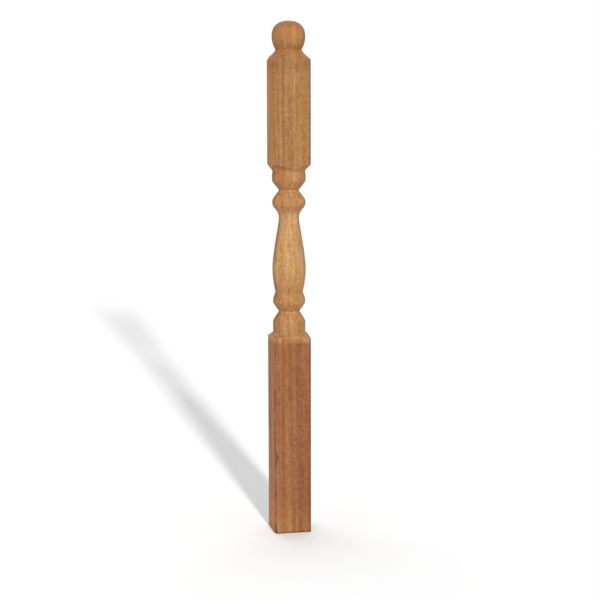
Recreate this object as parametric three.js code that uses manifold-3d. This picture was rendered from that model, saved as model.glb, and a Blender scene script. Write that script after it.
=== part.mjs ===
// A newel post of western red cedar, turned from one square piece of timber: a long square foot,
// a turned stretch of beads and a vase, a short square block that takes the rails, and a ball on top.
// Millimetres, +Z up. The origin is the middle of the underside, and the four faces look along X and Y.
// The timber is one solid: the turned outline, revolved, and the square timber, kept where both are.

import * as THREE from 'three';
import { mergeVertices } from 'three/addons/utils/BufferGeometryUtils.js';
import Module from 'manifold-3d';

// Driving sizes. The lengths follow one another from the underside up.
const POST_WIDTH = 88.9; // 3 1/2 in
const LOWER_BLOCK_LENGTH = 485.775; // 19 1/8 in
const TURNING_LENGTH = 387.35; // 15 1/4 in
const UPPER_BLOCK_LENGTH = 254; // 10 in
const FINIAL_HEIGHT = 85.725; // 3 3/8 in
const EDGE_ROUNDING = 3.2; // radius of the long edges of the timber

// Shoulders, where a square block turns round. Each rises from the middle of the block's face to a
// neck, and along the corners it runs back into the block by the setback. The lower block's face and
// the upper block's face end a little off the block's length, as the overruns say.
const CORNER_SETBACK = 8.5;
const LOWER_FACE_OVERRUN = -7;
const UPPER_FACE_OVERRUN = 4;
const LOWER_SHOULDER_RISE = 7;
const UPPER_SHOULDER_RISE = 10.8;
const FINIAL_SHOULDER_RISE = 15;

// Depths of the turned forms, measured in from the middle of a face, as a turner sets them.
const LOWER_NECK_DEPTH = 6.6;
const LOWER_CUP_DEPTH = 5.8;
const LOWER_GROOVE_DEPTH = 20;
const LOWER_RING_DEPTH = 6;
const VASE_FOOT_DEPTH = 12.4;
const VASE_BELLY_DEPTH = 4.7;
const VASE_NECK_DEPTH = 20.7;
const UPPER_RING_LIP_DEPTH = 10.5;
const UPPER_RING_DEPTH = 5;
const UPPER_GROOVE_DEPTH = 21.7;
const UPPER_CUP_DEPTH = 4.6;
const UPPER_NECK_DEPTH = 5.8;
const FINIAL_NECK_DEPTH = 14.2;
const BALL_DEPTH = 5.1;

// Heights of the turned forms, from the lower neck to the upper one. The stretch of the vase between
// its belly and its neck takes up what is left of the turning's length.
const LOWER_CUP_FILLET = 5;
const LOWER_CUP_SIDE = 18.5;
const LOWER_CUP_FLANK = 24;
const LOWER_RING_FLANK = 22;
const LOWER_RING_TOP = 23.5;
const VASE_BELLY_RISE = 56;
const VASE_COVE = 21.8;
const UPPER_RING_BASE = 16.4;
const UPPER_RING_FLANK = 25.8;
const UPPER_CUP_FLANK = 23.3;
const UPPER_CUP_SIDE = 10.7;
const UPPER_CUP_FILLET = 8;

// How full the curves are: the share of a curve's height over which its control point keeps to the
// wider end's radius. A small share leaves a flank nearly straight, and 0.5 gives an even round.
const CUP_FULLNESS = 0.13;
const UPPER_RING_FLANK_FULLNESS = 0.27;
const UPPER_RING_BASE_FULLNESS = 0.68;
const EVEN_FULLNESS = 0.5;
const RING_TOP_FULLNESS = 0.58;
const VASE_BELLY_FULLNESS = 0.28;
const VASE_NECK_FULLNESS = 0.1;
const BALL_WIDEST_LEVEL = 0.465; // share of the ball's height
const BALL_CROWN_FULLNESS = 0.65; // 0.55 would make the crown an ellipse

const TURNED_SIDES = 48;
const CURVE_STEPS = 5;
const LONG_CURVE_STEPS = 8;
const FILLET_STEPS = 2;
const EDGE_STEPS = 3;
const CUT_MARGIN = 2; // how far one of two crossing shapes runs past the other

const faceDistance = POST_WIDTH / 2;
const cornerDistance = faceDistance * Math.SQRT2;
const upperBlockBottom = LOWER_BLOCK_LENGTH + TURNING_LENGTH;
const upperBlockTop = upperBlockBottom + UPPER_BLOCK_LENGTH;
const postTop = upperBlockTop + FINIAL_HEIGHT;
const lowerFaceEnd = LOWER_BLOCK_LENGTH + LOWER_FACE_OVERRUN;
const upperFaceEnd = upperBlockTop + UPPER_FACE_OVERRUN;

const radiusAt = (depth) => faceDistance - depth;
const point = (radius, height) => new THREE.Vector2(radius, height);

// The outline is a list of points (radius, height), built upwards. Each function adds one stretch.
function addCurve(outline, control, end, steps) {
  const curve = new THREE.QuadraticBezierCurve(outline.at(-1), control, end);
  outline.push(...curve.getPoints(steps).slice(1));
}

// Control point of the curve that runs from start to end and is at middle halfway.
function controlThrough(start, middle, end) {
  return middle.clone().multiplyScalar(2).sub(start.clone().add(end).multiplyScalar(0.5));
}

// From a block's corners, past the end of its faces at their middle, up to a neck.
function addShoulderAbove(outline, faceEnd, rise, neckDepth) {
  const corner = point(cornerDistance, faceEnd - CORNER_SETBACK);
  const neck = point(radiusAt(neckDepth), faceEnd + rise);
  outline.push(corner);
  addCurve(outline, controlThrough(corner, point(faceDistance, faceEnd), neck), neck, CURVE_STEPS);
}

// From the neck under a block up to the block's corners.
function addShoulderBelow(outline, faceEnd) {
  const neck = outline.at(-1);
  const corner = point(cornerDistance, faceEnd + CORNER_SETBACK);
  addCurve(outline, controlThrough(neck, point(faceDistance, faceEnd), corner), corner, CURVE_STEPS);
}

// A curve that widens upwards and is upright at its upper end.
function addWidening(outline, depth, height, fullness, steps = CURVE_STEPS) {
  const end = point(radiusAt(depth), outline.at(-1).y + height);
  addCurve(outline, point(end.x, end.y - fullness * height), end, steps);
}

// A curve that narrows upwards and is upright at its lower end.
function addNarrowing(outline, depth, height, fullness, steps = CURVE_STEPS) {
  const start = outline.at(-1);
  const end = point(radiusAt(depth), start.y + height);
  addCurve(outline, point(start.x, start.y + fullness * height), end, steps);
}

function addStraightSide(outline, height) {
  const start = outline.at(-1);
  outline.push(point(start.x, start.y + height));
}

// The upper part of the vase: from the belly, upright, in one long sweep to the neck, upright again.
function addVaseSweep(outline, neckHeight) {
  const belly = outline.at(-1);
  const neck = point(radiusAt(VASE_NECK_DEPTH), neckHeight);
  const height = neck.y - belly.y;
  const sweep = new THREE.CubicBezierCurve(
    belly,
    point(belly.x, belly.y + VASE_BELLY_FULLNESS * height),
    point(neck.x, neck.y - VASE_NECK_FULLNESS * height),
    neck,
  );
  outline.push(...sweep.getPoints(LONG_CURVE_STEPS).slice(1));
}

// The crown of the ball, from its widest place to the middle of its top.
function addCrown(outline) {
  const side = outline.at(-1);
  const height = postTop - side.y;
  const crown = new THREE.CubicBezierCurve(
    side,
    point(side.x, side.y + BALL_CROWN_FULLNESS * height),
    point(BALL_CROWN_FULLNESS * side.x, postTop),
    point(0, postTop),
  );
  outline.push(...crown.getPoints(LONG_CURVE_STEPS).slice(1));
}

function turnedOutline() {
  const outline = [point(0, -CUT_MARGIN), point(cornerDistance, -CUT_MARGIN)];

  addShoulderAbove(outline, lowerFaceEnd, LOWER_SHOULDER_RISE, LOWER_NECK_DEPTH);
  addWidening(outline, LOWER_CUP_DEPTH, LOWER_CUP_FILLET, EVEN_FULLNESS, FILLET_STEPS);
  addStraightSide(outline, LOWER_CUP_SIDE);
  addNarrowing(outline, LOWER_GROOVE_DEPTH, LOWER_CUP_FLANK, CUP_FULLNESS);
  addWidening(outline, LOWER_RING_DEPTH, LOWER_RING_FLANK, CUP_FULLNESS);
  addNarrowing(outline, VASE_FOOT_DEPTH, LOWER_RING_TOP, RING_TOP_FULLNESS);
  addWidening(outline, VASE_BELLY_DEPTH, VASE_BELLY_RISE, EVEN_FULLNESS);

  const upperCup = UPPER_CUP_FLANK + UPPER_CUP_SIDE + UPPER_CUP_FILLET;
  const upperRing = VASE_COVE + UPPER_RING_BASE + UPPER_RING_FLANK;
  addVaseSweep(outline, upperBlockBottom - UPPER_SHOULDER_RISE - upperCup - upperRing);
  addNarrowing(outline, UPPER_RING_LIP_DEPTH, VASE_COVE, EVEN_FULLNESS);
  addWidening(outline, UPPER_RING_DEPTH, UPPER_RING_BASE, UPPER_RING_BASE_FULLNESS);
  addNarrowing(outline, UPPER_GROOVE_DEPTH, UPPER_RING_FLANK, UPPER_RING_FLANK_FULLNESS);
  addWidening(outline, UPPER_CUP_DEPTH, UPPER_CUP_FLANK, CUP_FULLNESS);
  addStraightSide(outline, UPPER_CUP_SIDE);
  addNarrowing(outline, UPPER_NECK_DEPTH, UPPER_CUP_FILLET, EVEN_FULLNESS, FILLET_STEPS);
  addShoulderBelow(outline, upperBlockBottom);

  addShoulderAbove(outline, upperFaceEnd, FINIAL_SHOULDER_RISE, FINIAL_NECK_DEPTH);
  const ballHeight = postTop - outline.at(-1).y;
  addWidening(outline, BALL_DEPTH, BALL_WIDEST_LEVEL * ballHeight, EVEN_FULLNESS);
  addCrown(outline);
  return outline;
}

// The square timber with its long edges rounded, standing on the underside.
function timberGeometry() {
  const flat = faceDistance - EDGE_ROUNDING;
  const section = new THREE.Shape();
  section.absarc(flat, flat, EDGE_ROUNDING, 0, Math.PI / 2);
  section.absarc(-flat, flat, EDGE_ROUNDING, Math.PI / 2, Math.PI);
  section.absarc(-flat, -flat, EDGE_ROUNDING, Math.PI, 1.5 * Math.PI);
  section.absarc(flat, -flat, EDGE_ROUNDING, 1.5 * Math.PI, 2 * Math.PI);
  section.closePath();
  return new THREE.ExtrudeGeometry(section, {
    depth: postTop + CUT_MARGIN,
    bevelEnabled: false,
    curveSegments: EDGE_STEPS,
  });
}

function solidFrom(wasm, geometry) {
  geometry.deleteAttribute('normal');
  geometry.deleteAttribute('uv');
  const merged = mergeVertices(geometry);
  const corners = merged.index.array;
  const triVerts = [];
  for (let i = 0; i < corners.length; i += 3) {
    const [a, b, c] = corners.slice(i, i + 3);
    if (a !== b && b !== c && c !== a) triVerts.push(a, b, c);
  }
  return new wasm.Manifold(new wasm.Mesh({
    numProp: 3,
    vertProperties: merged.getAttribute('position').array,
    triVerts: new Uint32Array(triVerts),
  }));
}

function geometryFrom(solid) {
  const mesh = solid.getMesh();
  const geometry = new THREE.BufferGeometry();
  geometry.setAttribute('position', new THREE.BufferAttribute(mesh.vertProperties, 3));
  geometry.setIndex(new THREE.BufferAttribute(mesh.triVerts, 1));
  return geometry;
}

async function makeNewelPost() {
  const wasm = await Module();
  wasm.setup();
  const turned = new THREE.LatheGeometry(turnedOutline(), TURNED_SIDES).rotateX(Math.PI / 2);
  const solid = solidFrom(wasm, turned).intersect(solidFrom(wasm, timberGeometry()));
  const cedar = new THREE.MeshStandardMaterial({
    color: 0xb38253,
    roughness: 0.6,
    metalness: 0,
    flatShading: true,
  });
  const post = new THREE.Mesh(geometryFrom(solid), cedar);
  post.name = 'newel_post';
  return post;
}

const part = new THREE.Group();
part.add(await makeNewelPost());

export default part;
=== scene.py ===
"""A turned newel post of western red cedar, standing on a pale floor.

The post is one mesh that stands for the CAD solid: the turned outline and the square timber, kept where both
are, with eased arrises and the small wear that the solid leaves out. Its wood is a solid texture, cut by the
surface as real timber is. Metres, +Z up. The origin is the middle of the underside.
"""

import math

import bpy
import numpy as np
from mathutils import Matrix, Vector, noise


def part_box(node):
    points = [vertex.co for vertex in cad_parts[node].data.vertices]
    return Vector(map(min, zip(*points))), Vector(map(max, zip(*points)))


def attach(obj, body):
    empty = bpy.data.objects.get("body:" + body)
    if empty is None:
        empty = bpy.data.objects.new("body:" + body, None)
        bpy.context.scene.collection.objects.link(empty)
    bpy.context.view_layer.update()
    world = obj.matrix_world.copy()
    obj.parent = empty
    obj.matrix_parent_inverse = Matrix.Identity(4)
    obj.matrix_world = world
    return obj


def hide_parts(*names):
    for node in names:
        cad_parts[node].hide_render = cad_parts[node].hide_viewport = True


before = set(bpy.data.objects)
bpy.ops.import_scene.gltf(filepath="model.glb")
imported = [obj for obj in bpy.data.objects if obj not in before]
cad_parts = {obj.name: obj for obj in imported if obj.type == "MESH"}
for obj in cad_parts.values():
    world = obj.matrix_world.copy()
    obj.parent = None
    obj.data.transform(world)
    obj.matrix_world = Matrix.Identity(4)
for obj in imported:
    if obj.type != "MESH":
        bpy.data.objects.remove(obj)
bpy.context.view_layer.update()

NODE = "newel_post"
node_low, node_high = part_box(NODE)
MILLIMETRE = 0.001

# The sizes of the solid. The blocks, the turning and the finial follow one another from the underside up.
FACE_DISTANCE = (node_high.x - node_low.x) / 2
CORNER_DISTANCE = FACE_DISTANCE * math.sqrt(2)
LOWER_BLOCK_TOP = 485.775 * MILLIMETRE
UPPER_BLOCK_BOTTOM = LOWER_BLOCK_TOP + 387.35 * MILLIMETRE
UPPER_BLOCK_TOP = UPPER_BLOCK_BOTTOM + 254 * MILLIMETRE
POST_TOP = node_high.z
EDGE_ROUNDING = 3.2 * MILLIMETRE

# The camera, in the photo's frame: the post is turned a little, so that its left face shows as a strip.
CAMERA_DISTANCE = 3.191
CAMERA_HEIGHT = 0.977
CAMERA_PITCH = math.radians(7.46)
CAMERA_ROLL = math.radians(-0.1)
POST_TURN = math.radians(11)
PHOTO_WIDTH = 600
FOCAL_PIXELS = 1350.5
POST_AXIS_PIXEL = 289.05
SENSOR_WIDTH = 36


def make_camera():
    """Looks past the post's axis by as much as the axis is off the middle of the photo."""
    sideways = (PHOTO_WIDTH / 2 - POST_AXIS_PIXEL) / FOCAL_PIXELS * CAMERA_DISTANCE
    ahead = Vector((math.sin(POST_TURN), math.cos(POST_TURN), 0))
    right = Vector((math.cos(POST_TURN), -math.sin(POST_TURN), 0))
    data = bpy.data.cameras.new("camera")
    data.sensor_width = SENSOR_WIDTH
    data.lens = FOCAL_PIXELS / PHOTO_WIDTH * SENSOR_WIDTH
    camera = bpy.data.objects.new("camera", data)
    bpy.context.scene.collection.objects.link(camera)
    place = sideways * right - CAMERA_DISTANCE * ahead + Vector((0, 0, CAMERA_HEIGHT))
    turn = (
        Matrix.Rotation(-POST_TURN, 4, "Z")
        @ Matrix.Rotation(math.pi / 2 - CAMERA_PITCH, 4, "X")
        @ Matrix.Rotation(CAMERA_ROLL, 4, "Z")
    )
    camera.matrix_world = Matrix.Translation(place) @ turn
    bpy.context.scene.camera = camera


make_camera()

# The turned outline, as in the solid. A depth is measured in from the middle of a face.
CORNER_SETBACK = 8.5 * MILLIMETRE
LOWER_FACE_END = LOWER_BLOCK_TOP - 7 * MILLIMETRE
UPPER_FACE_END = UPPER_BLOCK_TOP + 4 * MILLIMETRE
LOWER_SHOULDER_RISE = 7 * MILLIMETRE
UPPER_SHOULDER_RISE = 10.8 * MILLIMETRE
FINIAL_SHOULDER_RISE = 15 * MILLIMETRE

LOWER_NECK_DEPTH = 6.6 * MILLIMETRE
LOWER_CUP_DEPTH = 5.8 * MILLIMETRE
LOWER_GROOVE_DEPTH = 20 * MILLIMETRE
LOWER_RING_DEPTH = 6 * MILLIMETRE
VASE_FOOT_DEPTH = 12.4 * MILLIMETRE
VASE_BELLY_DEPTH = 4.7 * MILLIMETRE
VASE_NECK_DEPTH = 20.7 * MILLIMETRE
UPPER_RING_LIP_DEPTH = 10.5 * MILLIMETRE
UPPER_RING_DEPTH = 5 * MILLIMETRE
UPPER_GROOVE_DEPTH = 21.7 * MILLIMETRE
UPPER_CUP_DEPTH = 4.6 * MILLIMETRE
UPPER_NECK_DEPTH = 5.8 * MILLIMETRE
FINIAL_NECK_DEPTH = 14.2 * MILLIMETRE
BALL_DEPTH = 5.1 * MILLIMETRE

LOWER_CUP_FILLET = 5 * MILLIMETRE
LOWER_CUP_SIDE = 18.5 * MILLIMETRE
LOWER_CUP_FLANK = 24 * MILLIMETRE
LOWER_RING_FLANK = 22 * MILLIMETRE
LOWER_RING_TOP = 23.5 * MILLIMETRE
VASE_BELLY_RISE = 56 * MILLIMETRE
VASE_COVE = 21.8 * MILLIMETRE
UPPER_RING_BASE = 16.4 * MILLIMETRE
UPPER_RING_FLANK = 25.8 * MILLIMETRE
UPPER_CUP_FLANK = 23.3 * MILLIMETRE
UPPER_CUP_SIDE = 10.7 * MILLIMETRE
UPPER_CUP_FILLET = 8 * MILLIMETRE

VASE_FOOT_HEIGHT = LOWER_FACE_END + LOWER_SHOULDER_RISE + LOWER_CUP_FILLET + LOWER_CUP_SIDE
VASE_FOOT_HEIGHT += LOWER_CUP_FLANK + LOWER_RING_FLANK + LOWER_RING_TOP
LOWER_GROOVE_HEIGHT = VASE_FOOT_HEIGHT - LOWER_RING_TOP - LOWER_RING_FLANK
VASE_BELLY_HEIGHT = VASE_FOOT_HEIGHT + VASE_BELLY_RISE
UPPER_CUP_HEIGHT = UPPER_BLOCK_BOTTOM - UPPER_SHOULDER_RISE - UPPER_CUP_FILLET - UPPER_CUP_SIDE
UPPER_GROOVE_HEIGHT = UPPER_CUP_HEIGHT - UPPER_CUP_FLANK
UPPER_RING_HEIGHT = UPPER_GROOVE_HEIGHT - UPPER_RING_FLANK
UPPER_RING_LIP_HEIGHT = UPPER_RING_HEIGHT - UPPER_RING_BASE
VASE_NECK_HEIGHT = UPPER_RING_LIP_HEIGHT - VASE_COVE
FINIAL_NECK_HEIGHT = UPPER_FACE_END + FINIAL_SHOULDER_RISE

CUP_FULLNESS = 0.13
UPPER_RING_FLANK_FULLNESS = 0.27
UPPER_RING_BASE_FULLNESS = 0.68
EVEN_FULLNESS = 0.5
RING_TOP_FULLNESS = 0.58
VASE_BELLY_FULLNESS = 0.28
VASE_NECK_FULLNESS = 0.1
BALL_WIDEST_LEVEL = 0.465
BALL_CROWN_FULLNESS = 0.65

# The mesh.
CURVE_SAMPLES = 240
TURNED_ROW_STEP = 1.7 * MILLIMETRE
BLOCK_ROW_STEP = 5 * MILLIMETRE
FACE_COLUMNS = 36
EDGE_COLUMNS = 8
ARRIS_EASING = 1.2 * MILLIMETRE
OUTLINE_STEP = 0.1 * MILLIMETRE
OUTLINE_SOFTENING = 0.9 * MILLIMETRE
SOFTENING_REACH = 4 * OUTLINE_SOFTENING
SOFTENING_FADE = 4 * SOFTENING_REACH
ARRIS_ROW_OFFSETS = [share * MILLIMETRE for share in (0.25, 0.55, 0.95, 1.6)]
FOOT_ROW_HEIGHTS = [height * MILLIMETRE for height in (0.15, 0.4, 0.8, 1.3, 2, 3)]
CLOSEST_ROWS = 0.12 * MILLIMETRE
ROW_HEIGHT_DIGITS = 6
SHOULDER_FIT_REACH = 16 * MILLIMETRE
CROWN_TOP = 12 * MILLIMETRE
CROWN_TIP = 3 * MILLIMETRE
SHARP_ANGLE = math.radians(36)
ROUNDING_ALLOWANCE = 1e-9

# Wear on the square timber. Directions are angles round the axis, and the front left edge is at 225 degrees.
FRONT_LEFT_CORNER = math.radians(225)
FOOT_EASING = 1.4 * MILLIMETRE
# The waves of the foot's easing: how many go round the post, their share of the easing, and where they start.
FOOT_WAVES = ((3, 0.35, 0.6), (7, 0.25, 2.1))
CHIP_WIDTH = math.radians(4.2)
CHIP_DEPTH = 4.5 * MILLIMETRE
CHIP_HEIGHT = 12 * MILLIMETRE
CHIP_FALL = 1.5
CHECK_BOTTOM = 148 * MILLIMETRE
CHECK_TOP = 207 * MILLIMETRE
CHECK_BOW = 7 * MILLIMETRE
CHECK_WIDTH = 1.5 * MILLIMETRE
CHECK_DEPTH = 0.8 * MILLIMETRE
CRACK_HEIGHT = 28 * MILLIMETRE
CRACK_FULL_HEIGHT = 0.6 * CRACK_HEIGHT
CRACK_LEAN = 0.2
CRACK_WIDTH = 3.2 * MILLIMETRE
HOLLOW_DEPTH = 0.18 * MILLIMETRE
# The hollows are a noise over the direction round the post, and over the height times HOLLOW_NOISE_RISE.
HOLLOW_NOISE_SCALE = 1.7
HOLLOW_NOISE_RISE = 14


def curve_points(*controls):
    """A Bezier curve through its ends, with one control point between them or two."""
    share = np.linspace(0, 1, CURVE_SAMPLES)[:, None]
    order = len(controls) - 1
    weights = [math.comb(order, i) * share**i * (1 - share) ** (order - i) for i in range(order + 1)]
    return sum(weight * np.array(control, float) for weight, control in zip(weights, controls))


def last_point(outline):
    return outline[-1][-1]


def add_widening(outline, depth, height, fullness):
    start = last_point(outline)
    end = (FACE_DISTANCE - depth, start[1] + height)
    outline.append(curve_points(start, (end[0], end[1] - fullness * height), end))


def add_narrowing(outline, depth, height, fullness):
    start = last_point(outline)
    end = (FACE_DISTANCE - depth, start[1] + height)
    outline.append(curve_points(start, (start[0], start[1] + fullness * height), end))


def add_straight_side(outline, end_height):
    start = last_point(outline)
    outline.append(np.linspace(start, (start[0], end_height), CURVE_SAMPLES))


def shoulder(start, middle, end):
    """A curve from start to end that is at middle halfway."""
    control = [2 * m - (s + e) / 2 for s, m, e in zip(start, middle, end)]
    return curve_points(start, control, end)


def shoulder_above(face_end, rise, neck_depth):
    corner = (CORNER_DISTANCE, face_end - CORNER_SETBACK)
    neck = (FACE_DISTANCE - neck_depth, face_end + rise)
    return shoulder(corner, (FACE_DISTANCE, face_end), neck)


def add_vase_sweep(outline):
    belly = last_point(outline)
    neck = (FACE_DISTANCE - VASE_NECK_DEPTH, VASE_NECK_HEIGHT)
    height = neck[1] - belly[1]
    lower = (belly[0], belly[1] + VASE_BELLY_FULLNESS * height)
    upper = (neck[0], neck[1] - VASE_NECK_FULLNESS * height)
    outline.append(curve_points(belly, lower, upper, neck))


def add_crown(outline):
    side = last_point(outline)
    lower = (side[0], side[1] + BALL_CROWN_FULLNESS * (POST_TOP - side[1]))
    outline.append(curve_points(side, lower, (BALL_CROWN_FULLNESS * side[0], POST_TOP), (0, POST_TOP)))


def turned_outline():
    """The outline from the underside to the top, as stretches that are each an array of (radius, height)."""
    corner_height = LOWER_FACE_END - CORNER_SETBACK
    outline = [np.linspace((CORNER_DISTANCE, 0), (CORNER_DISTANCE, corner_height), CURVE_SAMPLES)]
    outline.append(shoulder_above(LOWER_FACE_END, LOWER_SHOULDER_RISE, LOWER_NECK_DEPTH))
    add_widening(outline, LOWER_CUP_DEPTH, LOWER_CUP_FILLET, EVEN_FULLNESS)
    add_straight_side(outline, last_point(outline)[1] + LOWER_CUP_SIDE)
    add_narrowing(outline, LOWER_GROOVE_DEPTH, LOWER_CUP_FLANK, CUP_FULLNESS)
    add_widening(outline, LOWER_RING_DEPTH, LOWER_RING_FLANK, CUP_FULLNESS)
    add_narrowing(outline, VASE_FOOT_DEPTH, LOWER_RING_TOP, RING_TOP_FULLNESS)
    add_widening(outline, VASE_BELLY_DEPTH, VASE_BELLY_RISE, EVEN_FULLNESS)

    add_vase_sweep(outline)
    add_narrowing(outline, UPPER_RING_LIP_DEPTH, VASE_COVE, EVEN_FULLNESS)
    add_widening(outline, UPPER_RING_DEPTH, UPPER_RING_BASE, UPPER_RING_BASE_FULLNESS)
    add_narrowing(outline, UPPER_GROOVE_DEPTH, UPPER_RING_FLANK, UPPER_RING_FLANK_FULLNESS)
    add_widening(outline, UPPER_CUP_DEPTH, UPPER_CUP_FLANK, CUP_FULLNESS)
    add_straight_side(outline, last_point(outline)[1] + UPPER_CUP_SIDE)
    add_narrowing(outline, UPPER_NECK_DEPTH, UPPER_CUP_FILLET, EVEN_FULLNESS)
    corner = (CORNER_DISTANCE, UPPER_BLOCK_BOTTOM + CORNER_SETBACK)
    outline.append(shoulder(last_point(outline), (FACE_DISTANCE, UPPER_BLOCK_BOTTOM), corner))

    add_straight_side(outline, UPPER_FACE_END - CORNER_SETBACK)
    outline.append(shoulder_above(UPPER_FACE_END, FINIAL_SHOULDER_RISE, FINIAL_NECK_DEPTH))
    ball_height = POST_TOP - last_point(outline)[1]
    add_widening(outline, BALL_DEPTH, BALL_WIDEST_LEVEL * ball_height, EVEN_FULLNESS)
    add_crown(outline)
    return outline


def softened(heights, radii):
    """The turned outline, its ridges and grooves rounded a little as by sanding, and less so at the top."""
    even_heights = np.arange(0, POST_TOP + OUTLINE_STEP, OUTLINE_STEP)
    even_radii = np.interp(even_heights, heights, radii)
    offsets = np.arange(-SOFTENING_REACH, SOFTENING_REACH + OUTLINE_STEP, OUTLINE_STEP)
    weights = np.exp(-0.5 * (offsets / OUTLINE_SOFTENING) ** 2)
    padded = np.pad(even_radii, len(weights) // 2, mode="edge")
    smooth = np.convolve(padded, weights / weights.sum(), mode="valid")[: len(even_heights)]
    crown = np.clip((POST_TOP - even_heights) / SOFTENING_FADE, 0, 1)
    return even_heights, even_radii + crown * (smooth - even_radii)


def timber_radius(angles):
    """From the axis to the surface of the square timber, its long edges rounded, in each direction."""
    quarter = math.pi / 2
    folded = np.abs((angles + quarter / 2) % quarter - quarter / 2)
    cosine, sine = np.cos(folded), np.sin(folded)
    centre = FACE_DISTANCE - EDGE_ROUNDING
    across = np.clip(EDGE_ROUNDING**2 - (centre * (cosine - sine)) ** 2, 0, None)
    rounded = centre * (cosine + sine) + np.sqrt(across)
    return np.where(FACE_DISTANCE * sine / cosine > centre, rounded, FACE_DISTANCE / cosine)


def column_angles():
    """Directions of the mesh's columns, closer together towards the long edges and closest round them."""
    face_half = math.atan2(FACE_DISTANCE - EDGE_ROUNDING, FACE_DISTANCE)
    share = np.linspace(-1, 1, FACE_COLUMNS + 1)
    face = face_half * (share + np.sin(share * math.pi / 2)) / 2
    edge = np.linspace(face_half, math.pi / 2 - face_half, EDGE_COLUMNS + 1)[1:-1]
    quadrant = np.concatenate([face, edge])
    return np.concatenate([quadrant + quarter * math.pi / 2 for quarter in range(4)])


def row_heights(outline):
    """Heights of the mesh's rows at the middle of a face, evenly spaced along each stretch of the outline."""
    rows = []
    for stretch in outline:
        steps = np.linalg.norm(np.diff(stretch, axis=0), axis=1)
        along = np.concatenate([[0], np.cumsum(steps)])
        is_block = stretch[0][0] == stretch[-1][0] == CORNER_DISTANCE
        count = math.ceil(along[-1] / (BLOCK_ROW_STEP if is_block else TURNED_ROW_STEP))
        rows.append(np.interp(np.linspace(0, along[-1], count + 1), along, stretch[:, 1]))
    rows.append(np.array(FOOT_ROW_HEIGHTS))
    for face_end in (LOWER_FACE_END, UPPER_BLOCK_BOTTOM, UPPER_FACE_END):
        offsets = np.array(ARRIS_ROW_OFFSETS)
        rows.append(face_end + np.concatenate([-offsets, [0], offsets]))
    heights = np.unique(np.round(np.concatenate(rows), ROW_HEIGHT_DIGITS))
    kept = [heights[0]]
    for height in heights[1:]:
        if height - kept[-1] > CLOSEST_ROWS or height > POST_TOP - CROWN_TIP:
            kept.append(height)
    return np.array(kept)


def fit_rows_to_shoulders(heights, timber, outline_radius, outline_height):
    """Moves the rows so that one lies on each curve where a turned shoulder meets the square timber."""
    grid = np.repeat(heights[:, None], len(timber), axis=1)
    reach = SHOULDER_FIT_REACH
    fits = (
        (LOWER_FACE_END, -reach, LOWER_SHOULDER_RISE, -CORNER_SETBACK, LOWER_SHOULDER_RISE),
        (UPPER_BLOCK_BOTTOM, -UPPER_SHOULDER_RISE, reach, -UPPER_SHOULDER_RISE, CORNER_SETBACK),
        (UPPER_FACE_END, -reach, FINIAL_SHOULDER_RISE, -CORNER_SETBACK, FINIAL_SHOULDER_RISE),
    )
    for face_end, below, above, lowest, highest in fits:
        above_lowest = outline_height > face_end + lowest - ROUNDING_ALLOWANCE
        below_highest = outline_height < face_end + highest + ROUNDING_ALLOWANCE
        shoulder_part = above_lowest & below_highest
        order = np.argsort(outline_radius[shoulder_part])
        meets = np.interp(timber, outline_radius[shoulder_part][order], outline_height[shoulder_part][order])
        for column, height in enumerate(meets):
            ends = (face_end + below, face_end, face_end + above)
            moved = (ends[0], height, ends[2])
            inside = (heights > ends[0]) & (heights < ends[2])
            grid[inside, column] = np.interp(heights[inside], ends, moved)
    return grid


def soft_minimum(a, b, reach):
    """The smaller of a and b, eased where they are closer together than the reach."""
    closeness = np.clip(1 - np.abs(a - b) / reach, 0, None)
    return np.minimum(a, b) - closeness**2 * reach / 4


def distance_round(angles, centre):
    """How far each direction is from the centre's, either way round."""
    return np.abs((angles - centre + math.pi) % (2 * math.pi) - math.pi)


def foot_wear(angles, heights):
    """The sawn foot's edge is eased unevenly, and its front left corner is knocked off."""
    waves = (share * np.sin(count * angles + start) for count, share, start in FOOT_WAVES)
    eased = FOOT_EASING * sum(waves, start=1)
    level = np.clip(1 - heights / eased, 0, 1)
    edge = eased * (1 - np.sqrt(1 - level**2))
    corner = np.exp(-((distance_round(angles, FRONT_LEFT_CORNER) / CHIP_WIDTH) ** 2))
    chip = CHIP_DEPTH * corner * np.clip(1 - heights / CHIP_HEIGHT, 0, 1) ** CHIP_FALL
    return edge + chip


def edge_check(across, depth, heights):
    """A short split in the front face. It leaves the left edge and bows into the face and back again."""
    along = np.clip((heights - CHECK_BOTTOM) / (CHECK_TOP - CHECK_BOTTOM), 0, 1)
    bow = np.sin(math.pi * along**2)
    off_line = (across + FACE_DISTANCE - CHECK_BOW * bow) / CHECK_WIDTH
    return np.where(depth < 0, CHECK_DEPTH * bow * np.exp(-(off_line**2)), 0)


def unevenness(angles, heights):
    """Shallow hollows that planing and sanding leave, inwards only."""
    grid = np.broadcast_to(angles, heights.shape)
    places = np.stack([np.cos(grid), np.sin(grid), heights * HOLLOW_NOISE_RISE], axis=-1).reshape(-1, 3)
    depth = [0.5 + 0.5 * noise.noise(Vector(place)) for place in places * HOLLOW_NOISE_SCALE]
    return HOLLOW_DEPTH * np.clip(np.array(depth), 0, 1).reshape(heights.shape)


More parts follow.
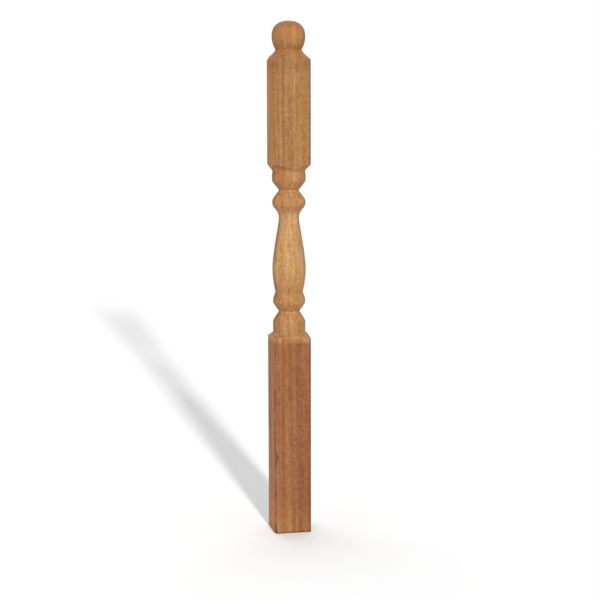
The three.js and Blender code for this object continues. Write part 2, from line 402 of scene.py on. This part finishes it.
def post_surface():
    """The points of the mesh, as rows from the foot to near the top that each go once round the post."""
    outline = turned_outline()
    outline_radius, outline_height = np.concatenate(outline).T
    angles = column_angles()
    timber = timber_radius(angles)
    heights = fit_rows_to_shoulders(row_heights(outline)[:-1], timber, outline_radius, outline_height)
    exact = np.interp(heights, outline_height, outline_radius)
    turned = np.interp(heights, *softened(outline_height, outline_radius))
    turned = np.where(heights > POST_TOP - CROWN_TOP, exact, turned)
    radius = soft_minimum(turned, timber, ARRIS_EASING)
    across, depth = timber * np.cos(angles), timber * np.sin(angles)
    radius -= foot_wear(angles, heights) + edge_check(across, depth, heights)
    radius -= unevenness(angles, heights)
    return np.stack([radius * np.cos(angles), radius * np.sin(angles), heights], axis=-1)


def side_faces(rows, columns):
    """Four-cornered faces between each row of points and the next."""
    faces = []
    for row in range(rows - 1):
        start, above = row * columns, (row + 1) * columns
        for column in range(columns):
            beside = (column + 1) % columns
            faces.append((start + column, start + beside, above + beside, above + column))
    return faces


def end_faces(rows, columns):
    """A fan of triangles round the middle of the foot and another round the middle of the top."""
    faces = []
    foot, top = rows * columns, rows * columns + 1
    last = (rows - 1) * columns
    for column in range(columns):
        beside = (column + 1) % columns
        faces.append((beside, column, foot))
        faces.append((last + column, last + beside, top))
    return faces


def post_mesh():
    surface = post_surface()
    rows, columns = surface.shape[:2]
    points = np.concatenate([surface.reshape(-1, 3), [[0, 0, 0]], [[0, 0, POST_TOP]]])
    mesh = bpy.data.meshes.new("cedar_post")
    mesh.from_pydata(points.tolist(), [], side_faces(rows, columns) + end_faces(rows, columns))
    mesh.shade_smooth()
    mesh.set_sharp_from_angle(angle=SHARP_ANGLE)
    return mesh


def make_post():
    post = bpy.data.objects.new("cedar_post", post_mesh())
    bpy.context.scene.collection.objects.link(post)
    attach(post, "root")
    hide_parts(NODE)
    return post


post = make_post()


# The mix node's sockets for colours, by number, because its sockets for other kinds have the same names.
MIX_SHARE, MIX_FIRST, MIX_SECOND, MIX_RESULT = 0, 6, 7, 2


class Graph:
    """Makes and joins shader nodes. A value that is a socket is linked, and any other is set."""

    def __init__(self, tree):
        self.tree = tree
        tree.nodes.clear()

    def node(self, kind, inputs, **settings):
        made = self.tree.nodes.new(kind)
        for name, value in settings.items():
            setattr(made, name, value)
        for key, value in inputs.items():
            if isinstance(value, bpy.types.NodeSocket):
                self.tree.links.new(value, made.inputs[key])
            else:
                made.inputs[key].default_value = value
        return made

    def math(self, operation, *values):
        return self.node("ShaderNodeMath", dict(enumerate(values)), operation=operation).outputs[0]

    def vector(self, operation, *values):
        made = self.node("ShaderNodeVectorMath", dict(enumerate(values)), operation=operation)
        return made.outputs["Value" if operation == "LENGTH" else "Vector"]

    def noise(self, place, scale, detail=2.0, roughness=0.5):
        """Noise whose size is 1 / scale, from 0 to 1, mostly near the middle."""
        inputs = {"Vector": place, "Scale": scale, "Detail": detail, "Roughness": roughness}
        return self.node("ShaderNodeTexNoise", inputs).outputs["Fac"]

    def spread(self, value, low, high, to_low=0.0, to_high=1.0, smooth=True):
        """Maps low..high to to_low..to_high, and stays at its ends outside them."""
        inputs = {"Value": value, "From Min": low, "From Max": high, "To Min": to_low, "To Max": to_high}
        shape = "SMOOTHSTEP" if smooth else "LINEAR"
        return self.node("ShaderNodeMapRange", inputs, interpolation_type=shape).outputs["Result"]

    def times(self, *values):
        product = values[0]
        for value in values[1:]:
            product = self.math("MULTIPLY", product, value)
        return product

    def total(self, *values):
        added = values[0]
        for value in values[1:]:
            added = self.math("ADD", added, value)
        return added

    def swing(self, value, amount):
        """A value near 0.5, moved to near 0 and scaled by the amount."""
        return self.math("MULTIPLY_ADD", value, amount, -amount / 2)

    def tint(self, tone, share, factors):
        """Multiplies the tone's red, green and blue by the factors, by that share."""
        inputs = {MIX_SHARE: share, MIX_FIRST: tone, MIX_SECOND: (*factors, 1)}
        made = self.node("ShaderNodeMix", inputs, data_type="RGBA", blend_type="MULTIPLY")
        return made.outputs[MIX_RESULT]


def colour(red, green, blue):
    """A colour from its display values, 0 to 255, as the linear values that a shader takes."""
    def linear(value):
        share = value / 255
        return share / 12.92 if share <= 0.04045 else ((share + 0.055) / 1.055) ** 2.4
    return (linear(red), linear(green), linear(blue), 1.0)


# The wood. Tones are the finish's mean colours, and tints are factors on red, green and blue.
BLOCK_TONE = colour(153, 109, 69)
BAND_TONE = colour(150, 107, 69)
BEAD_TONE = colour(166, 123, 80)
VASE_TONE = colour(177, 138, 96)
LOWER_BLOCK_TONE = colour(138, 89, 60)
FOOT_TONE = colour(150, 103, 66)
FINISH_LINE_HEIGHT = 461.3 * MILLIMETRE
FINISH_LINE_BLUR = 0.6 * MILLIMETRE
FOOT_FADE_START = 12 * MILLIMETRE
FOOT_FADE_END = 75 * MILLIMETRE

GOLDEN = (1.02, 1.02, 0.84)
ORANGE = (1.04, 0.91, 0.86)
DEEP_ORANGE = (1.05, 0.89, 0.8)
ROSE = (1.06, 1.1, 1.45)
# Painted highlights.
PALE = (1.28, 1.33, 1.4)
# Painted light on the turned underside below the upper block.
PAINTED_UNDERSIDE_LIGHT = (1.18, 1.18, 1.14)
GOLDEN_FOOT = (1.17, 1.2, 1.0)
# Painted shade on the turning's left and right sides.
PAINTED_SIDE_SHADE = (0.66, 0.65, 0.68)
PALE_PINK = (1.03, 1.08, 1.4)
# Painted light that makes the left face as bright as the front.
PAINTED_LEFT_LIGHT = (1.42, 1.33, 0.98)
END_GRAIN = (0.84, 0.8, 0.74)
# A dark brown. Under the upper ring's lip, along the front left edge and under the upper block's face it is
# painted shade.
UMBER = (0.78, 0.72, 0.66)
# Painted shade on the timber's long edges.
ARRIS_SHADE_TINT = (0.58, 0.69, 0.84)
SHADE = (0.87, 0.85, 0.85)
# Painted light in the grooves.
PAINTED_GROOVE_LIGHT = (1.16, 1.16, 1.16)
BALL_PALE = (1.12, 1.14, 1.16)
UNDER_BALL_BROWN = (0.9, 0.88, 0.87)
FOOT_BROWN = (0.5, 0.45, 0.45)
# Painted shade inside the split and the crack at the foot.
PAINTED_CRACK_SHADE = (0.42, 0.35, 0.33)
NECK_RED = (0.95, 0.8, 0.7)
BROWN_VEIN = (0.9, 0.88, 0.84)
PALE_STREAK = (1.14, 1.2, 1.14)
YELLOW_STREAK = (1.0, 1.03, 0.9)
RED_STREAK = (0.9, 0.86, 0.92)
PALE_EDGE = (1.05, 1.06, 1.08)
# What a lighter grain does to red, green and blue: the darker it is, the more orange.
GRAIN_WEIGHTS = (0.8, 1.12, 1.68)

# The wood's grain. Each stretch is how fast a noise changes across the post, into it and up it.
PITH = (125 * MILLIMETRE, 20 * MILLIMETRE, 0)
PITH_WANDER = 16 * MILLIMETRE
PITH_STRETCH = (1, 1, 0.3)
RING_SPACING = 3.3 * MILLIMETRE
LATEWOOD_START = 0.25
LATEWOOD_PEAK = 0.9
LATEWOOD_LIGHTNESS = -0.08
RING_LIGHTNESS = 0.025
GRAIN_STRETCH = (1, 1, 0.014)
FLECK_STRETCH = (1, 1, 0.8)
BLOTCH_STRETCH = (1, 1, 0.3)
BREAK_STRETCH = (1, 1, 0.5)

# What leaves the height out of a place, and the direction in which one noise is moved away from another.
WITHOUT_HEIGHT = (1, 1, 0)
SHIFT_DIRECTION = (1, 0.7, 0.4)

# The surface: light grain stands a little higher and is a little glossier.
BUMP_STRENGTH = 0.25
BUMP_HEIGHT = 0.5 * MILLIMETRE
ROUGHNESS = 0.6
GRAIN_ROUGHNESS = -0.3
SPECULAR_LEVEL = 0.15

# Where a tint starts and where it is full. The first three are levels of a noise, the fourth is how squarely
# the surface faces left or right, and the last is how squarely it crosses the grain.
BLOTCH_EDGE = (0.42, 0.62)
BREAK_EDGE = (0.4, 0.6)
STREAK_EDGE = (0.35, 0.6)
SIDE_EDGE = (0.86, 0.99)
END_GRAIN_EDGE = (0.75, 1.0)

# Distances from the axis that tell the blocks from the turning, and from the middle that tell the left face.
BLOCK_EDGE = (42.5 * MILLIMETRE, 44.4 * MILLIMETRE)
LEFT_FACE_EDGE = (-42.5 * MILLIMETRE, -44.2 * MILLIMETRE)

# Painted shade on the long edges, by the sum of the distances from the post's two middle planes. Across and
# depth are both negative at the front left edge, and so is their sum.
ARRIS_SHADE_BAND = (83.2 * MILLIMETRE, 85.8 * MILLIMETRE)
BACK_LEFT_SHADE = (77.2 * MILLIMETRE, 85 * MILLIMETRE)
FRONT_LEFT_LINE = (-83.8 * MILLIMETRE, -85.6 * MILLIMETRE)
ARRIS_SHADE_BAND_TOP = UPPER_FACE_END - CORNER_SETBACK
ARRIS_SHADE_BAND_FADE = 2 * MILLIMETRE
# Darker along the foot's bottom edge.
FOOT_DARK_EDGE = (5 * MILLIMETRE, 1 * MILLIMETRE)

# Bands round the post. Each has a middle height, and the distance above and below at which it has faded out.
UNDER_BLOCK_BAND = (UPPER_BLOCK_BOTTOM - UPPER_SHOULDER_RISE / 2, 9 * MILLIMETRE)
UNDER_BALL_BAND = (UPPER_FACE_END - 22 * MILLIMETRE, 28 * MILLIMETRE)
BALL_BAND = (POST_TOP - 37 * MILLIMETRE, 32 * MILLIMETRE)
# Painted shade under the upper ring's lip.
LIP_SHADE_LINE = (UPPER_RING_LIP_HEIGHT + 5 * MILLIMETRE, 2.5 * MILLIMETRE)
COVE_BAND = (UPPER_RING_LIP_HEIGHT - 4 * MILLIMETRE, 9 * MILLIMETRE)
LOWER_GROOVE_BAND = (LOWER_GROOVE_HEIGHT, 5 * MILLIMETRE)
UPPER_GROOVE_BAND = (UPPER_GROOVE_HEIGHT, 5 * MILLIMETRE)
FINIAL_NECK_BAND = (FINIAL_NECK_HEIGHT - 1 * MILLIMETRE, 5 * MILLIMETRE)

# How much of a tint there is in some places, and how much less or more of it in others.
ORANGE_CHANGE_ON_BLOCK = -0.6
GOLDEN_CHANGE_ON_BLOCK = -0.3
LEAST_SIDE_STREAK = 0.6
SIDE_SHARE_ON_BALL = 0.4
LINE_SHARE = 0.15
LINE_SHARE_ADDED_BELOW = 0.8

# The patches: the front face, how far into the post most of them reach, and the share of its reach within
# which a patch is full.
PATCH_FRONT = -FACE_DISTANCE
PATCH_DEPTH = 20 * MILLIMETRE
PATCH_CORE = 0.3


def moved(graph, place, offset):
    """The place, moved so that one noise doesn't repeat another's pattern."""
    return graph.vector("ADD", place, tuple(offset * share for share in SHIFT_DIRECTION))


def ring_distance(graph, place):
    """Distance from the pith, whose line wanders a little on its way up the trunk."""
    across = graph.vector("MULTIPLY", graph.vector("SUBTRACT", place, PITH), WITHOUT_HEIGHT)
    wander = graph.noise(graph.vector("MULTIPLY", place, PITH_STRETCH), scale=9)
    return graph.math("MULTIPLY_ADD", wander, PITH_WANDER, graph.vector("LENGTH", across))


def growth_rings(graph, distance):
    """Each ring darkens slowly to its latewood and starts again, and some years are darker than others."""
    ring = graph.math("FRACT", graph.math("DIVIDE", distance, RING_SPACING))
    darkening = graph.spread(ring, LATEWOOD_START, LATEWOOD_PEAK)
    late = graph.times(darkening, graph.spread(ring, 1.0, LATEWOOD_PEAK))
    year = graph.node("ShaderNodeCombineXYZ", {"X": distance}).outputs[0]
    return graph.total(
        graph.math("MULTIPLY_ADD", late, LATEWOOD_LIGHTNESS, RING_LIGHTNESS),
        graph.swing(graph.noise(year, scale=130, detail=1), amount=0.6),
    )


def grain_lightness(graph, place, distance):
    """How much lighter or darker than the finish's mean the wood is, near 0."""
    grain = graph.vector("MULTIPLY", place, GRAIN_STRETCH)
    fleck = graph.vector("MULTIPLY", place, FLECK_STRETCH)
    blotch = graph.vector("MULTIPLY", place, BLOTCH_STRETCH)
    return graph.total(
        growth_rings(graph, distance),
        graph.swing(graph.noise(moved(graph, grain, 0.31), scale=140, detail=1), amount=0.55),
        graph.swing(graph.noise(grain, scale=400, detail=3, roughness=0.6), amount=0.35),
        graph.swing(graph.noise(moved(graph, fleck, 0.87), scale=210), amount=0.8),
        graph.swing(graph.noise(moved(graph, blotch, 0.53), scale=70), amount=0.35),
    )


def finish_tone(graph, height):
    """The finish's colour by height: redder below a straight line, lightest on the vase, tan at the top."""
    stops = (
        (FOOT_FADE_START, FOOT_TONE),
        (FOOT_FADE_END, LOWER_BLOCK_TONE),
        (FINISH_LINE_HEIGHT - FINISH_LINE_BLUR, LOWER_BLOCK_TONE),
        (FINISH_LINE_HEIGHT + FINISH_LINE_BLUR, BAND_TONE),
        (LOWER_FACE_END, BEAD_TONE),
        (VASE_FOOT_HEIGHT, BEAD_TONE),
        (VASE_BELLY_HEIGHT, VASE_TONE),
        (VASE_NECK_HEIGHT, VASE_TONE),
        (UPPER_RING_HEIGHT, BEAD_TONE),
        (UPPER_BLOCK_BOTTOM - UPPER_SHOULDER_RISE, BEAD_TONE),
        (UPPER_BLOCK_BOTTOM, BLOCK_TONE),
    )
    ramp = graph.node("ShaderNodeValToRGB", {"Fac": graph.math("DIVIDE", height, POST_TOP)})
    elements = ramp.color_ramp.elements
    while len(elements) < len(stops):
        elements.new(1.0)
    for element, (level, tone) in zip(elements, stops):
        element.position = level / POST_TOP
        element.color = tone
    return ramp.outputs["Color"]


def near(graph, value, centre, half_width):
    """1 where the value is the centre, falling to 0 at the half width on either side."""
    return graph.spread(graph.math("ABSOLUTE", graph.math("SUBTRACT", value, centre)), half_width, 0)


def vein(graph, distance, across, half_width):
    """A vein that follows the rings and crosses the front face that far right of its middle."""
    centre = math.hypot(PITH[0] - across, FACE_DISTANCE + PITH[1]) + PITH_WANDER / 2
    return near(graph, distance, centre, half_width)


def blotch_tints(graph, tone, place, on_block):
    """Patches of more orange and of more golden wood, the orange ones mostly on the turning."""
    blotch = graph.vector("MULTIPLY", place, BLOTCH_STRETCH)
    orange = graph.spread(graph.noise(moved(graph, blotch, 1.7), scale=90), *BLOTCH_EDGE)
    orange = graph.times(orange, graph.math("MULTIPLY_ADD", on_block, ORANGE_CHANGE_ON_BLOCK, 1))
    golden = graph.spread(graph.noise(moved(graph, blotch, 2.9), scale=75), *BLOTCH_EDGE)
    golden = graph.times(golden, graph.math("MULTIPLY_ADD", on_block, GOLDEN_CHANGE_ON_BLOCK, 1))
    return graph.tint(graph.tint(tone, orange, ORANGE), golden, GOLDEN)


def side_tint(graph, tone, place, across, height, off_axis, on_block):
    """Painted shade on the turning's left and right sides, broken up by streaks, and less of it on the ball.
    """
    sidewards = graph.math("DIVIDE", graph.math("ABSOLUTE", across), off_axis)
    streak = graph.noise(graph.vector("MULTIPLY", moved(graph, place, 2.3), BLOTCH_STRETCH), scale=60)
    streaks = graph.spread(streak, *STREAK_EDGE, LEAST_SIDE_STREAK, 1.0)
    below_ball = graph.spread(height, UPPER_FACE_END, UPPER_BLOCK_BOTTOM, SIDE_SHARE_ON_BALL, 1.0)
    turned = graph.math("SUBTRACT", 1, on_block)
    sides = graph.times(graph.spread(sidewards, *SIDE_EDGE), streaks, below_ball, turned)
    return graph.tint(tone, sides, PAINTED_SIDE_SHADE)


def vein_tints(graph, tone, distance, on_block, below_line):
    """Golden and dark veins of the blocks, and the broad light and dark bands of the lower one."""
    above_line = graph.math("SUBTRACT", on_block, below_line)
    # How far right of the front's middle it is, the half width at which it has faded out, and where it shows.
    veins = (
        (0.030, 0.005, on_block, GOLDEN),
        (0.040, 0.005, above_line, PALE_PINK),
        (-0.020, 0.004, above_line, BROWN_VEIN),
        (-0.012, 0.009, below_line, PALE_STREAK),
        (-0.002, 0.010, below_line, YELLOW_STREAK),
        (0.017, 0.012, below_line, RED_STREAK),
        (-0.036, 0.006, below_line, PALE_EDGE),
    )
    for across, half_width, where, factors in veins:
        tone = graph.tint(tone, graph.times(vein(graph, distance, across, half_width), where), factors)
    return tone


def arris_tints(graph, tone, place, across, depth, height, below_line):
    """Painted shade on the timber's long edges, and on the front left one a broken line of painted shade."""
    corner = graph.math("ADD", graph.math("ABSOLUTE", across), graph.math("ABSOLUTE", depth))
    back_left = graph.spread(graph.math("SUBTRACT", depth, across), *BACK_LEFT_SHADE)
    front_left = graph.spread(graph.math("ADD", across, depth), *FRONT_LEFT_LINE)
    others = graph.math("SUBTRACT", graph.spread(corner, *ARRIS_SHADE_BAND), front_left)
    below_top = graph.spread(height, ARRIS_SHADE_BAND_TOP, ARRIS_SHADE_BAND_TOP - ARRIS_SHADE_BAND_FADE)
    edges = graph.times(graph.math("MAXIMUM", others, back_left), below_top)
    breaks = graph.noise(graph.vector("MULTIPLY", place, BREAK_STRETCH), scale=60)
    strength = graph.math("MULTIPLY_ADD", below_line, LINE_SHARE_ADDED_BELOW, LINE_SHARE)
    line = graph.times(front_left, graph.spread(breaks, *BREAK_EDGE), strength)
    # Painted shade on the long edges, and a broken line of painted shade along the front left one.
    return graph.tint(graph.tint(tone, edges, ARRIS_SHADE_TINT), line, UMBER)


def towards_front(graph, depth):
    """0 on the post's middle plane and behind it, rising to 1 on its front face."""
    return graph.spread(depth, 0, -FACE_DISTANCE)


def check_tint(graph, tone, across, depth, height):
    """Painted shade inside the split beside the front left edge."""
    along = graph.spread(height, CHECK_BOTTOM, CHECK_TOP, smooth=False)
    bow = graph.math("SINE", graph.times(along, along, math.pi))
    line = graph.math("MULTIPLY_ADD", bow, CHECK_BOW, -FACE_DISTANCE)
    inside = near(graph, graph.math("SUBTRACT", across, line), 0, 2 * CHECK_WIDTH)
    return graph.tint(tone, graph.times(inside, bow, towards_front(graph, depth)), PAINTED_CRACK_SHADE)


def foot_tint(graph, tone, across, depth, height):
    """A darker bottom edge, and painted shade in a crack that leans in from the knocked front left corner."""
    line = graph.math("MULTIPLY_ADD", height, -CRACK_LEAN, CRACK_HEIGHT * CRACK_LEAN - FACE_DISTANCE)
    crack = near(graph, graph.math("SUBTRACT", across, line), 0, CRACK_WIDTH)
    low = graph.spread(height, CRACK_HEIGHT, CRACK_FULL_HEIGHT)
    tone = graph.tint(tone, graph.times(crack, low, towards_front(graph, depth)), PAINTED_CRACK_SHADE)
    return graph.tint(tone, graph.spread(height, *FOOT_DARK_EDGE), FOOT_BROWN)


def band_tints(graph, tone, height, on_block):
    """Painted light under the upper block and in the grooves, painted shade under the lip, and bands of wood.
    """
    turned = graph.math("SUBTRACT", 1, on_block)
    # Painted light on the turned underside below the upper block.
    under_block = graph.times(near(graph, height, *UNDER_BLOCK_BAND), turned)
    tone = graph.tint(tone, under_block, PAINTED_UNDERSIDE_LIGHT)
    bands = (
        (UNDER_BALL_BAND, UNDER_BALL_BROWN),
        (BALL_BAND, BALL_PALE),
        # Painted light in the two grooves.
        (LOWER_GROOVE_BAND, PAINTED_GROOVE_LIGHT),
        (UPPER_GROOVE_BAND, PAINTED_GROOVE_LIGHT),
        # Painted shade under the upper ring's lip.
        (LIP_SHADE_LINE, UMBER),
        (COVE_BAND, ORANGE),
        (FINIAL_NECK_BAND, NECK_RED),
    )
    for (middle, half_width), factors in bands:
        tone = graph.tint(tone, near(graph, height, middle, half_width), factors)
    return tone


def patch_tints(graph, tone, place, patches):
    """Patches of other tints. Each has its middle, the reach across, into the post and up, and its tint."""
    for middle, reach, factors in patches:
        off_centre = graph.vector("DIVIDE", graph.vector("SUBTRACT", place, middle), reach)
        tone = graph.tint(tone, graph.spread(graph.vector("LENGTH", off_centre), 1, PATCH_CORE), factors)
    return tone


def foot_patches(graph, tone, place):
    """Orange, rose and golden wood at the foot's front, and a golden patch on its left."""
    return patch_tints(graph, tone, place, (
        ((-0.018, PATCH_FRONT, 0.040), (0.009, PATCH_DEPTH, 0.012), DEEP_ORANGE),
        ((-0.033, PATCH_FRONT, 0.013), (0.007, PATCH_DEPTH, 0.015), ROSE),
        ((-0.015, PATCH_FRONT, 0.016), (0.008, PATCH_DEPTH, 0.009), GOLDEN),
        ((-FACE_DISTANCE, -0.005, 0.045), (0.010, 0.040, 0.055), GOLDEN_FOOT),
    ))


def lower_block_patches(graph, tone, place):
    """Rose wood and a painted highlight by the split, a rose patch right of it, a brown stretch of edge
    above.
    """
    return patch_tints(graph, tone, place, (
        ((-0.036, PATCH_FRONT, 0.150), (0.005, PATCH_DEPTH, 0.024), ROSE),
        ((0.021, PATCH_FRONT, 0.238), (0.007, PATCH_DEPTH, 0.017), ROSE),
        # Painted highlight beside the split.
        ((-0.0355, PATCH_FRONT, 0.198), (0.0024, PATCH_DEPTH, 0.010), PALE),
        ((-0.043, PATCH_FRONT, 0.337), (0.003, PATCH_DEPTH, 0.024), UMBER),
    ))


def turning_patches(graph, tone, place):
    """Orange streaks, a brown line and painted shade on the vase's right, a painted highlight and orange on
    the ring and cup.
    """
    return patch_tints(graph, tone, place, (
        ((-0.029, -0.026, 0.622), (0.006, PATCH_DEPTH, 0.032), DEEP_ORANGE),
        ((0.022, -0.031, 0.618), (0.005, PATCH_DEPTH, 0.050), DEEP_ORANGE),
        ((0.033, -0.015, 0.680), (0.014, 0.024, 0.075), SHADE),
        ((0.0215, -0.012, 0.755), (0.006, PATCH_DEPTH, 0.034), UMBER),
        # Painted highlight on the upper ring's right.
        ((0.024, -0.031, 0.797), (0.010, PATCH_DEPTH, 0.010), PALE),
        ((-0.024, -0.030, 0.800), (0.009, PATCH_DEPTH, 0.008), DEEP_ORANGE),
        ((-0.026, -0.028, 0.852), (0.013, PATCH_DEPTH, 0.014), DEEP_ORANGE),
    ))


def upper_block_patches(graph, tone, place):
    """A painted highlight over a painted line of shade at the foot of the front, and orange wood at both ends
    of its right.
    """
    return patch_tints(graph, tone, place, (
        # Painted shade line under the upper block's face.
        ((0.014, -0.040, 0.8665), (0.024, PATCH_DEPTH, 0.003), UMBER),
        # Painted highlight at the foot of the upper block's front.
        ((0.012, PATCH_FRONT, 0.8725), (0.026, PATCH_DEPTH, 0.004), PALE),
        ((0.036, PATCH_FRONT, 0.886), (0.006, PATCH_DEPTH, 0.011), DEEP_ORANGE),
        ((0.034, PATCH_FRONT, 1.118), (0.008, PATCH_DEPTH, 0.010), DEEP_ORANGE),
    ))


def ball_patches(graph, tone, place):
    """Orange and golden wood on the ball's front."""
    return patch_tints(graph, tone, place, (
        ((-0.023, -0.032, 1.160), (0.011, PATCH_DEPTH, 0.014), ORANGE),
        ((0.024, -0.028, 1.170), (0.007, PATCH_DEPTH, 0.014), GOLDEN),
        ((-0.014, -0.030, 1.190), (0.009, PATCH_DEPTH, 0.010), GOLDEN),
        ((0.020, -0.028, 1.192), (0.008, PATCH_DEPTH, 0.008), DEEP_ORANGE),
    ))


def end_grain_tint(graph, tone):
    """Stain soaks in deeper where the surface crosses the grain: the foot, the crown and the steep flanks."""
    normal = graph.node("ShaderNodeNewGeometry", {}).outputs["Normal"]
    upward = graph.node("ShaderNodeSeparateXYZ", {"Vector": normal}).outputs["Z"]
    return graph.tint(tone, graph.spread(graph.math("ABSOLUTE", upward), *END_GRAIN_EDGE), END_GRAIN)


def cedar_tone(graph, place, distance):
    """The finish's colour with its veins, stains and patches, before the grain."""
    across, depth, height = graph.node("ShaderNodeSeparateXYZ", {"Vector": place}).outputs
    below_line = graph.spread(height, FINISH_LINE_HEIGHT, FINISH_LINE_HEIGHT - 2 * FINISH_LINE_BLUR)
    off_axis = graph.vector("LENGTH", graph.vector("MULTIPLY", place, WITHOUT_HEIGHT))
    on_block = graph.spread(off_axis, *BLOCK_EDGE)

    tone = blotch_tints(graph, finish_tone(graph, height), place, on_block)
    tone = vein_tints(graph, tone, distance, on_block, below_line)
    # Painted light on the left face.
    tone = graph.tint(tone, graph.spread(across, *LEFT_FACE_EDGE), PAINTED_LEFT_LIGHT)
    tone = side_tint(graph, tone, place, across, height, off_axis, on_block)
    tone = arris_tints(graph, tone, place, across, depth, height, below_line)
    tone = check_tint(graph, tone, across, depth, height)
    tone = foot_tint(graph, tone, across, depth, height)
    tone = band_tints(graph, tone, height, on_block)
    for patches in (foot_patches, lower_block_patches, turning_patches, upper_block_patches, ball_patches):
        tone = patches(graph, tone, place)
    return end_grain_tint(graph, tone)


def cedar_material():
    material = bpy.data.materials.new("cedar")
    material.use_nodes = True
    graph = Graph(material.node_tree)
    place = graph.node("ShaderNodeTexCoord", {}).outputs["Object"]
    distance = ring_distance(graph, place)
    lightness = grain_lightness(graph, place, distance)
    factors = graph.vector("MULTIPLY_ADD", lightness, GRAIN_WEIGHTS, (1, 1, 1))
    relief = {"Height": lightness, "Strength": BUMP_STRENGTH, "Distance": BUMP_HEIGHT}
    surface = {
        "Base Color": graph.vector("MULTIPLY", cedar_tone(graph, place, distance), factors),
        "Roughness": graph.math("MULTIPLY_ADD", lightness, GRAIN_ROUGHNESS, ROUGHNESS),
        "Specular IOR Level": SPECULAR_LEVEL,
        "Normal": graph.node("ShaderNodeBump", relief).outputs[0],
    }
    shader = graph.node("ShaderNodeBsdfPrincipled", surface)
    graph.node("ShaderNodeOutputMaterial", {"Surface": shader.outputs[0]})
    return material


post.data.materials.append(cedar_material())

# The studio: a wide pale floor, even light from all round, a low sun for the long shadow and a wide one for
# the soft shadow round the foot, both of which only the floor takes, and a soft light from the camera's side
# and a weaker one from behind that only the post takes.
# Each direction is the light's height above the floor and how far right of the camera it stands.
AMBIENT_LIGHT = 0.42
FLOOR_REFLECTANCE = 0.95
FLOOR_RADIUS = 40
FLOOR_SIDES = 64
FLOOR_DROP = 0.2 * MILLIMETRE
SHADOW_SUN_STRENGTH = 4.05
SHADOW_SUN_DIRECTION = (math.radians(16.5), math.radians(13.8))
SHADOW_SUN_ANGLE = math.radians(3.5)
BACK_STRENGTH = 1.03
BACK_DIRECTION = (math.radians(60), math.radians(-165))
BACK_ANGLE = math.radians(50)
KEY_STRENGTH = 2.65
KEY_DIRECTION = (math.radians(38), math.radians(4))
KEY_ANGLE = math.radians(30)
FILL_STRENGTH = 1.2
FILL_DIRECTION = (math.radians(30), math.radians(175))
FILL_ANGLE = math.radians(60)


def make_floor():
    bpy.ops.mesh.primitive_circle_add(vertices=FLOOR_SIDES, radius=FLOOR_RADIUS, fill_type="NGON")
    floor = bpy.context.object
    floor.name = "floor"
    floor.location.z = -FLOOR_DROP
    material = bpy.data.materials.new("floor")
    material.use_nodes = True
    graph = Graph(material.node_tree)
    pale = (FLOOR_REFLECTANCE, FLOOR_REFLECTANCE, FLOOR_REFLECTANCE, 1)
    shader = graph.node("ShaderNodeBsdfDiffuse", {"Color": pale})
    graph.node("ShaderNodeOutputMaterial", {"Surface": shader.outputs[0]})
    floor.data.materials.append(material)
    return floor


def make_world():
    """White behind everything, and an even light of a lower strength on it."""
    world = bpy.data.worlds.new("studio")
    world.use_nodes = True
    graph = Graph(world.node_tree)
    seen = graph.node("ShaderNodeLightPath", {}).outputs["Is Camera Ray"]
    strength = graph.spread(seen, 0, 1, AMBIENT_LIGHT, 1.0, smooth=False)
    background = graph.node("ShaderNodeBackground", {"Color": (1, 1, 1, 1), "Strength": strength})
    graph.node("ShaderNodeOutputWorld", {"Surface": background.outputs[0]})
    bpy.context.scene.world = world


def make_sun(name, lit, strength, direction, angle):
    """A distant light that only one object takes."""
    elevation, right_of_camera = direction
    data = bpy.data.lights.new(name, "SUN")
    data.energy = strength
    data.angle = angle
    sun = bpy.data.objects.new(name, data)
    bpy.context.scene.collection.objects.link(sun)
    turn = Matrix.Rotation(right_of_camera - POST_TURN, 4, "Z")
    sun.matrix_world = turn @ Matrix.Rotation(math.pi / 2 - elevation, 4, "X")
    receivers = bpy.data.collections.new(name + " receivers")
    receivers.objects.link(lit)
    sun.light_linking.receiver_collection = receivers


floor = make_floor()
make_world()
make_sun("shadow sun", floor, SHADOW_SUN_STRENGTH, SHADOW_SUN_DIRECTION, SHADOW_SUN_ANGLE)
make_sun("back light", floor, BACK_STRENGTH, BACK_DIRECTION, BACK_ANGLE)
make_sun("key light", post, KEY_STRENGTH, KEY_DIRECTION, KEY_ANGLE)
make_sun("fill light", post, FILL_STRENGTH, FILL_DIRECTION, FILL_ANGLE)
bpy.context.scene.view_settings.view_transform = "Standard"
